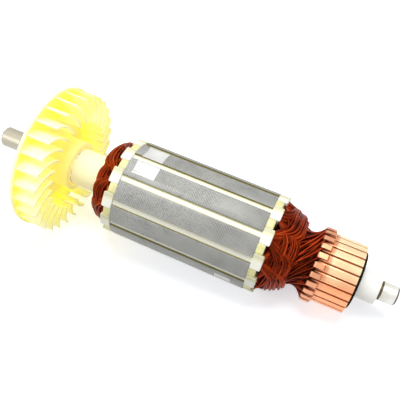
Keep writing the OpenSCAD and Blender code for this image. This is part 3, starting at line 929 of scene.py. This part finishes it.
class ARMATURE_OT_stage(bpy.types.Operator):
    """Sets the floor, the light and the camera"""

    bl_idname = "armature.stage"
    bl_label = "Stage"

    SENSOR = 36.0
    LENS = 50.1
    CAMERA_PLACE = (0.1381, -0.1377, 0.1868)
    CAMERA_RIGHT = (0.91002, 0.40333, 0.09584)
    CAMERA_UP = (-0.37052, 0.68761, 0.62442)
    AIR_LIGHT = 0.42
    # Place, diameter and power of each lamp, and the point they are aimed at
    LAMPS = {
        "key": ((0.04, 0.03, 0.62), 0.34, 2.5),
        "fill": ((-0.28, -0.42, 0.34), 0.4, 1.15),
    }
    LAMP_AIM = (0.09, 0.0, 0.0)
    # The armature rests on its fan and on an edge this far behind the insulator's face
    REST_EDGE = 0.0016
    RESTING = ("fan", "end_insulator_commutator_side", "lamination_stack")
    FLOOR_GAP = 0.0001
    FLOOR_SIZE = 3.0

    def execute(self, context):
        scene = context.scene
        scene.view_settings.view_transform = "Standard"
        self.camera(scene)
        scene.world = self.world()
        self.floor(scene)
        for name, (place, size, power) in self.LAMPS.items():
            self.lamp(scene, name, place, size, power)
        return {"FINISHED"}

    def camera(self, scene):
        """Camera above the commutator's side, turned so that the shaft runs down to the right."""
        data = bpy.data.cameras.new("camera")
        data.sensor_width = self.SENSOR
        data.lens = self.LENS
        data.clip_start, data.clip_end = 0.01, 20.0
        camera = bpy.data.objects.new("camera", data)
        scene.collection.objects.link(camera)
        right, up = Vector(self.CAMERA_RIGHT), Vector(self.CAMERA_UP)
        turn = Matrix((right, up, right.cross(up))).transposed().to_4x4()
        camera.matrix_world = Matrix.Translation(self.CAMERA_PLACE) @ turn
        scene.camera = camera

    def world(self):
        """White where the camera, metal or glass sees it, and an even pale light on the rest."""
        f = Finish("studio", "worlds")
        light = f.shader("Background", WHITE, Strength=self.AIR_LIGHT)
        white = f.shader("Background", WHITE)
        return f.end("World", f.blend_shaders(f.seen_directly(), light, white))

    def floor(self, scene):
        """White table under the armature as it rests."""
        lean = math.atan2(
            high("fan").z - high("end_insulator_commutator_side").z,
            COMMUTATOR_FACE_X - FAN_X - self.REST_EDGE,
        )
        up = Vector((-math.sin(lean), 0.0, math.cos(lean)))
        depth = min(
            up.dot(vertex.co)
            for name in self.RESTING
            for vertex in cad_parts[name].data.vertices
        )
        turn = up.to_track_quat("Z", "Y").to_matrix().to_4x4()
        place = Matrix.Translation(up * (depth - self.FLOOR_GAP)) @ turn
        bm = bmesh.new()
        bmesh.ops.create_grid(bm, x_segments=1, y_segments=1, size=self.FLOOR_SIZE)
        bmesh.ops.transform(bm, matrix=place, verts=bm.verts)
        mesh = bpy.data.meshes.new("floor")
        bm.to_mesh(mesh)
        bm.free()
        floor = bpy.data.objects.new("floor", mesh)
        scene.collection.objects.link(floor)
        mesh.materials.append(white_table())

    def lamp(self, scene, name, place, size, power):
        """A round soft lamp."""
        data = bpy.data.lights.new(name, "AREA")
        data.shape = "DISK"
        data.size = size
        data.energy = power
        lamp = bpy.data.objects.new(name, data)
        scene.collection.objects.link(lamp)
        lamp.location = place
        aim = Vector(self.LAMP_AIM) - Vector(place)
        lamp.rotation_mode = "QUATERNION"
        lamp.rotation_quaternion = aim.to_track_quat("-Z", "Y")


class ARMATURE_OT_shaft(bpy.types.Operator):
    """Finishes the shaft and its insulating sleeve"""

    bl_idname = "armature.shaft"
    bl_label = "Shaft and sleeve"

    def execute(self, context):
        sizes = context.scene.armature_sizes
        dress("shaft", ground_steel())
        soften(dress("insulating_sleeve", ivory_moulding()), sizes.sleeve_edge)
        return {"FINISHED"}


class ARMATURE_OT_fan(bpy.types.Operator):
    """Finishes the moulded cooling fan"""

    bl_idname = "armature.fan"
    bl_label = "Cooling fan"

    def execute(self, context):
        soften(dress("fan", fan_nylon()), context.scene.armature_sizes.fan_edge)
        return {"FINISHED"}


class ARMATURE_OT_core(bpy.types.Operator):
    """Finishes the lamination stack and its end insulators"""

    bl_idname = "armature.core"
    bl_label = "Core"

    def execute(self, context):
        sizes = context.scene.armature_sizes
        soften(dress("lamination_stack", stacked_sheets()), sizes.core_edge, segments=1)
        moulding = insulator_moulding()
        for name in nodes_named("end_insulator"):
            soften(dress(name, moulding), sizes.insulator_edge)
        return {"FINISHED"}


class ARMATURE_OT_slot_paper(bpy.types.Operator):
    """Finishes the slot liners and wedges"""

    bl_idname = "armature.slot_paper"
    bl_label = "Slot insulation"

    def execute(self, context):
        sizes = context.scene.armature_sizes
        paper = insulating_paper()
        dress("slot_liners", paper)
        for name in WEDGES:
            soften(dress(name, paper), sizes.wedge_edge, segments=3, clamp=False)
        return {"FINISHED"}


class ARMATURE_OT_winding(bpy.types.Operator):
    """Winds each coil from single wires, bundle over bundle on both faces of the core"""

    bl_idname = "armature.winding"
    bl_label = "Winding"

    SEED = 11
    # How light each finish is, and the finishes' numbers. The dark finish is a tone drawn at
    # random, and also painted shade on the wires below the top layer; the neck shade is painted
    # shade on the wires under the leads
    FINISHES = {
        "enamelled_wire": 1.0,
        "enamelled_wire_light": 1.3,
        "enamelled_wire_dark_and_shaded": 0.6,
        "enamelled_wire_neck_shade": 0.3,
    }
    USUAL, LIGHT, DARK, DEEP = range(4)
    # How many coils early or late a coil may take its place beside the sleeve
    ORDER_SPREAD = 1.5
    # Leads: steps, sweep round the shaft in degrees, and depth from one to the next
    LEAD_STEPS = 18
    LEAD_SWEEP = (62, 104)
    LEAD_SINK = 0.0009
    # Degrees from a hook's middle to the gap beside it, and to a lead's last two points in it
    HOOK_GAP = 6.3
    HOOK_ENTRY = 3.5
    HOOK_EXIT = -4.6
    # Wires under the leads: steps, sweep, spread beside the hook and depth below the waist
    NECK_STEPS = 14
    NECK_SWEEP = (80, 150)
    NECK_SPREAD = 8
    NECK_DEPTH = (0.0004, 0.0026)

    def execute(self, context):
        sizes = context.scene.armature_sizes
        draws = random.Random(self.SEED)
        finishes = [enamelled_wire(name, share) for name, share in self.FINISHES.items()]
        fan_side = self.end_turns(sizes, sizes.dome_fan, draws)
        hook_side = self.end_turns(sizes, sizes.dome_commutator, draws)
        for index, name in enumerate(COILS):
            runs = self.leads(sizes, index, draws)
            for turn, (fan_wire, hook_wire) in enumerate(zip(fan_side[index], hook_side[index])):
                # Wires below the top layer take the dark finish as painted shade; those on top
                # vary at random
                finish = self.DARK
                if turn < sizes.wires_across:
                    finish = draws.choice((self.USUAL, self.USUAL, self.LIGHT, self.DARK))
                runs.append((self.loop(fan_wire, hook_wire, sizes.slot_reach), True, finish))
            piece = wires(name + "_wires", runs, sizes.wire_r, finishes)
            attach(piece, "root")
            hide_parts(name)
        return {"FINISHED"}

    def end_turns(self, sizes, dome, draws):
        """For each coil, its wires on one face. Later coils lie on the earlier ones."""
        bundles = {}
        totals = Pile()
        for place, index in enumerate(WINDING_ORDER):
            spread = draws.uniform(-self.ORDER_SPREAD, self.ORDER_SPREAD)
            share = (place + spread) / len(WINDING_ORDER)
            middle = sizes.neck_r + sizes.bundle_w * 0.5 + sizes.neck_spread * share
            bundles[index] = Bundle(sizes, SLOT_PITCH * index, middle, draws)
            totals.add(bundles[index].cover())
        pile = Pile()
        made = {}
        for index in WINDING_ORDER:
            bundle = bundles[index]
            made[index] = bundle.wires(bundle.levels(pile, totals), dome)
            pile.add(bundle.cover())
        return made

    def loop(self, fan_wire, hook_wire, reach):
        """One turn of wire, over both faces and straight through the slots between them."""
        fan = [(FAN_FACE_X - height, y, z) for y, z, height in fan_wire]
        hook = [(COMMUTATOR_FACE_X + height, y, z) for y, z, height in hook_wire]
        return [
            (FAN_FACE_X + reach, *fan[0][1:]),
            *fan,
            (FAN_FACE_X + reach, *fan[-1][1:]),
            (COMMUTATOR_FACE_X - reach, *hook[-1][1:]),
            *hook[::-1],
            (COMMUTATOR_FACE_X - reach, *hook[0][1:]),
        ]

    def leads(self, sizes, index, draws):
        """Wires from the winding to the coil's two hooks, over more that fill the neck."""
        made = []
        for side in (-0.25, 0.25):
            hook = SLOT_PITCH * (index + side)
            for deep in range(sizes.leads_per_hook):
                path = self.lead(sizes, hook, deep, draws)
                finish = draws.choice((self.USUAL, self.LIGHT, self.DARK))
                made.append((path, False, finish))
            for _ in range(sizes.neck_wires):
                # Wires under the leads take the darkest finish as painted shade
                made.append((self.neck_wire(sizes, hook, draws), False, self.DEEP))
        return made

    def lead(self, sizes, hook, deep, draws):
        """A wire that leaves the winding, dips to the waist and ends in a hook's eye."""
        sweep = draws.uniform(*self.LEAD_SWEEP)
        # Places along the shaft, with the distances from its middle line there
        profile = (
            (COMMUTATOR_FACE_X + 0.0066, 0.0152),
            (COMMUTATOR_FACE_X + 0.0105, 0.0128),
            (COMMUTATOR_FACE_X + 0.0142, sizes.waist_r),
            (COMMUTATOR_FACE_X + 0.0168, sizes.waist_r + 0.0008),
            (HOOK_X - 0.0006, HOOK_EYE_R),
        )
        start, end = profile[0][0], profile[-1][0]
        places = [start + (end - start) * k / self.LEAD_STEPS for k in range(self.LEAD_STEPS + 1)]
        radii = smoothed([between(profile, x) for x in places], 2)
        wave = draws.uniform(0, math.tau)
        path = []
        for k, (x, r) in enumerate(zip(places, radii)):
            t = k / self.LEAD_STEPS
            stray = 1.5 * math.sin(t * 7 + wave) * (1 - t)
            angle = hook + self.HOOK_GAP + sweep * (1 - t) ** 1.15 + stray
            # The leads lie one over the other and come up together before the hook
            sink = deep * self.LEAD_SINK * (1 - eased((t - 0.6) / 0.4))
            path.append(around(angle, x, r - sink))
        path.append(around(hook + self.HOOK_ENTRY, HOOK_X, HOOK_EYE_R))
        path.append(around(hook + self.HOOK_EXIT, HOOK_X, HOOK_EYE_R))
        return path

    def neck_wire(self, sizes, hook, draws):
        """A wire that runs round the neck under the leads."""
        start, end = COMMUTATOR_FACE_X + 0.005, MOULDING_X - 0.0002
        depth = draws.uniform(*self.NECK_DEPTH)
        last = hook + draws.uniform(-self.NECK_SPREAD, self.NECK_SPREAD)
        sweep = draws.uniform(*self.NECK_SWEEP)
        path = []
        for k in range(self.NECK_STEPS + 1):
            t = k / self.NECK_STEPS
            # Out a little towards both ends
            flare = 0.0026 * max(2 * t - 1.1, 0) ** 2 + 0.001 * (1 - t) ** 2
            r = sizes.waist_r - depth + flare
            path.append(around(last + sweep * (1 - t), start + (end - start) * t, r))
        return path


class ARMATURE_OT_commutator(bpy.types.Operator):
    """Finishes the copper bars and the dark moulding that holds them"""

    bl_idname = "armature.commutator"
    bl_label = "Commutator"

    def execute(self, context):
        sizes = context.scene.armature_sizes
        copper = bar_copper()
        for name in BARS:
            soften(dress(name, copper), sizes.bar_edge)
        dress("commutator_moulding", phenolic())
        return {"FINISHED"}


class ARMATURE_PT_panel(bpy.types.Panel):
    """Lists the armature's pieces, sizes and colours"""

    bl_idname = "ARMATURE_PT_panel"
    bl_label = "Motor armature"
    bl_space_type = "VIEW_3D"
    bl_region_type = "UI"
    bl_category = "Armature"

    def draw(self, context):
        for operator in OPERATORS:
            self.layout.operator(operator.bl_idname)
        for group in (context.scene.armature_sizes, context.scene.armature_finish):
            for name in group.__annotations__:
                self.layout.prop(group, name)


OPERATORS = (
    ARMATURE_OT_stage,
    ARMATURE_OT_shaft,
    ARMATURE_OT_fan,
    ARMATURE_OT_core,
    ARMATURE_OT_slot_paper,
    ARMATURE_OT_winding,
    ARMATURE_OT_commutator,
)
CLASSES = (ArmatureSizes, ArmatureFinish, *OPERATORS, ARMATURE_PT_panel)


def register():
    for item in CLASSES:
        bpy.utils.register_class(item)
    bpy.types.Scene.armature_sizes = PointerProperty(type=ArmatureSizes)
    bpy.types.Scene.armature_finish = PointerProperty(type=ArmatureFinish)


def unregister():
    del bpy.types.Scene.armature_finish
    del bpy.types.Scene.armature_sizes
    for item in reversed(CLASSES):
        bpy.utils.unregister_class(item)


def main():
    register()
    bpy.ops.armature.stage()
    bpy.ops.armature.shaft()
    bpy.ops.armature.fan()
    bpy.ops.armature.core()
    bpy.ops.armature.slot_paper()
    bpy.ops.armature.winding()
    bpy.ops.armature.commutator()


if __name__ == "__main__":
    main()
